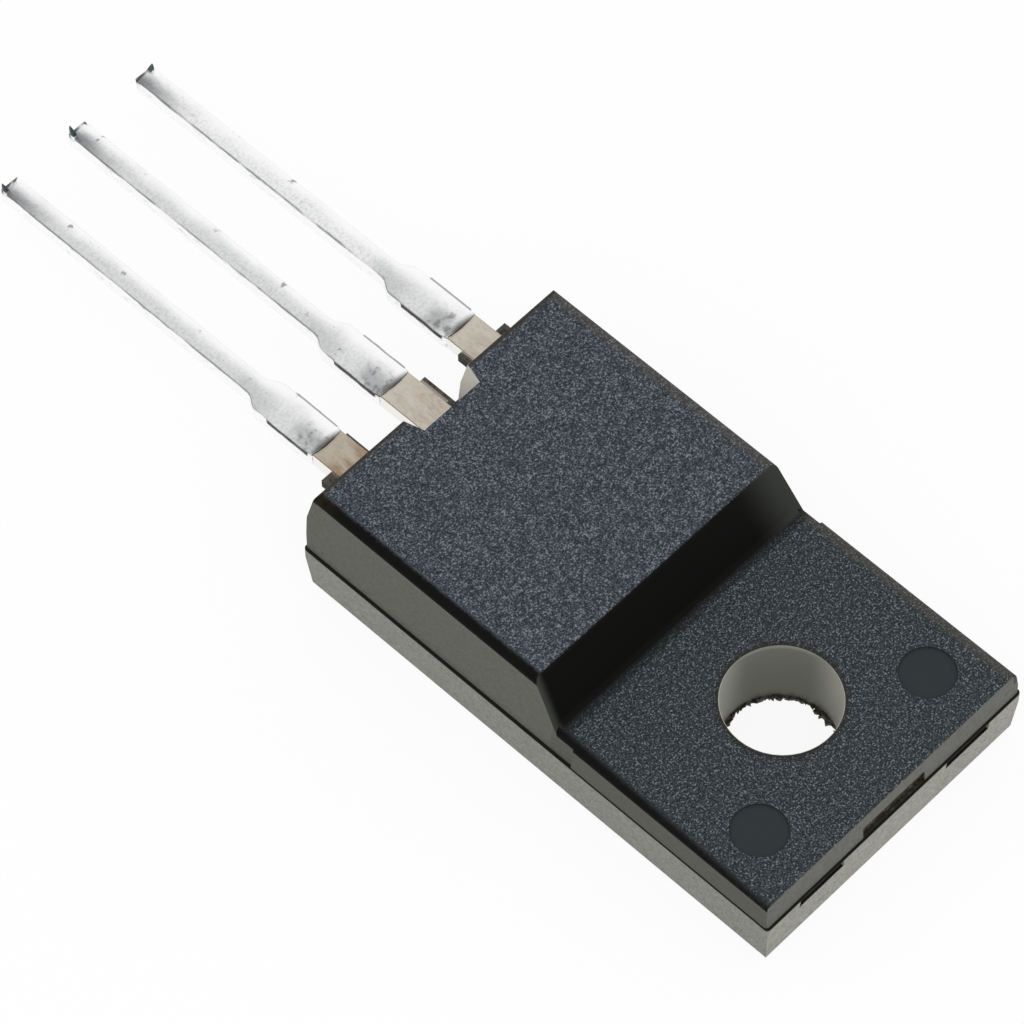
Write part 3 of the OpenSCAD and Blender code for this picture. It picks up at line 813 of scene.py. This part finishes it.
def solderPits(wire, f, s, colour):
    # pits, darker patches near the front on one side, and the painted shade of the rounded lip at
    # the front
    near = f.y.under(s["nearEnd"], s["damStart"]) * f.share.under(s["nearSide"])
    nearPits = noise(wire, f.place, *s["nearPits"]).over(s["nearPitDepth"]) * near
    farPits = noise(wire, f.place, *s["farPits"]).over(s["farPitDepth"])
    pits = nearPits.most(farPits) * f.facingUp
    colour = (pits * s["pitShare"]).blend(colour, s["pit"])
    frontDarkening = near * f.cloud.over(s["frontDarkCloud"]) * f.share.under(s["frontDarkSide"])
    colour = (frontDarkening * f.facingUp).blend(colour, s["pit"])
    # painted shade of the rounded lip at the front
    lipShade = (f.y + f.share * f.share * s["lipBow"]).under(s["lipEnd"], s["front"])
    return pits, (lipShade * f.facingUp).blend(colour, s["meniscusShade"])


def solderCuts(f, s, colour):
    # sheared ends of the dam bar, and the cut tip with its burrs
    sheared = f.across.under(s["shearedSide"], -s["wideHalf"]) * f.nz.between(
        s["shearedBand"]) * f.z.over(s["shearedAbove"], s["high"])
    farEdge = f.across.over(s["farEdge"], s["wideHalf"])
    atDam = f.y.between((s["damStart"], s["damEnd"], s["damSoft"]))
    colour = (sheared.most(farEdge) * atDam).blend(colour, s["sheared"])
    cutEnd = (f.y + f.grit * s["cutRagged"]).over(s["cutFrom"], s["tip"]) * f.share.under(
        s["cutSide"]) * f.z.over(s["cutAbove"], s["high"])
    return cutEnd.most(f.z.over(s["burrAbove"], s["high"])).blend(colour, s["cut"])


def solderMaterial(s, coat):
    material, wire = newMaterial(coat["name"])
    f = solderFields(wire, s, coat)
    colour = solderSheen(f, s, coat["narrowGrey"])
    pits, colour = solderPits(wire, f, s, colour)
    colour = solderCuts(f, s, colour)
    relief = bump(wire, s["relief"], f.grit * s["gritRelief"] - pits)
    surface(wire, colour, f.cloud * s["roughSwing"] + s["rough"], relief, Metallic=1.0).finish()
    return material


for coat in coats:
    made = makeSolder(solder, coat)
    print(made.name, len(made.data.polygons), "faces")


# ragged mould flash round the lower rim of the screw hole

holeFlash = {
    "outer": 1.64, "inner": 0.955, "height": 0.14, "thick": 0.13, "points": 230,
    # the inner rim is ragged, and begins innerPast inside the outer one
    "ragged": 0.06, "seed": 4, "innerPast": 0.03,
    # where it stands further in: angle and half spread in radians, how far it shrinks
    "patches": ((-0.1, 0.22, 0.94), (2.0, 0.4, 0.975), (0.9, 0.2, 0.99)),
    "light": srgb(84, 76, 60), "dark": srgb(20, 17, 11),
    "speckle": (12.0, 3.0, 0.7), "speckleStep": (0.5, 0.2, 1),
    "relief": (0.6, 0.02), "rough": 0.5, "roughSwing": 0.2,
}


def mouldFlashMaterial(s):
    material, wire = newMaterial("mould_flash")
    speckle = noise(wire, objectPlace(wire), *s["speckle"])
    colour = speckle.over(s["speckleStep"]).blend(s["dark"], s["light"])
    surface(wire, colour, speckle * s["roughSwing"] + s["rough"],
            bump(wire, s["relief"], speckle)).finish()
    return material


def makeHoleFlash(s):
    bpy.ops.object.select_all(action="DESELECT")
    bpy.ops.mesh.primitive_circle_add(
        vertices=s["points"], radius=s["outer"] * mm, location=(0, 0, s["height"] * mm))
    piece = bpy.context.object
    piece.name = "hole_flash"
    bpy.ops.object.transform_apply(location=True, rotation=True, scale=True)
    bpy.ops.object.mode_set(mode="EDIT")
    bpy.ops.mesh.select_mode(type="VERT")
    bpy.ops.mesh.select_all(action="SELECT")
    bpy.ops.mesh.extrude_region_move()
    bpy.ops.transform.resize(value=(s["inner"], s["inner"], 1), center_override=(0, 0, 0))

    def isInner(c):
        return math.hypot(c.x, c.y) < s["outer"] - s["innerPast"]

    for angle, spread, shrink in s["patches"]:
        selectWhere(piece, "VERT", lambda c: isInner(c)
                    and abs(math.atan2(c.y, c.x) - angle) < spread)
        bpy.ops.transform.resize(value=(shrink, shrink, 1), center_override=(0, 0, 0))
    selectWhere(piece, "VERT", isInner)
    bpy.ops.transform.vertex_random(
        offset=s["ragged"] * mm, uniform=1, normal=0, seed=s["seed"])
    bpy.ops.object.mode_set(mode="OBJECT")
    thick = piece.modifiers.new("thick", "SOLIDIFY")
    thick.thickness = s["thick"] * mm
    thick.offset = 0
    applyAll(piece)
    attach(piece, "root")
    piece.data.materials.append(mouldFlashMaterial(s))


makeHoleFlash(holeFlash)
print("hole flash ready")
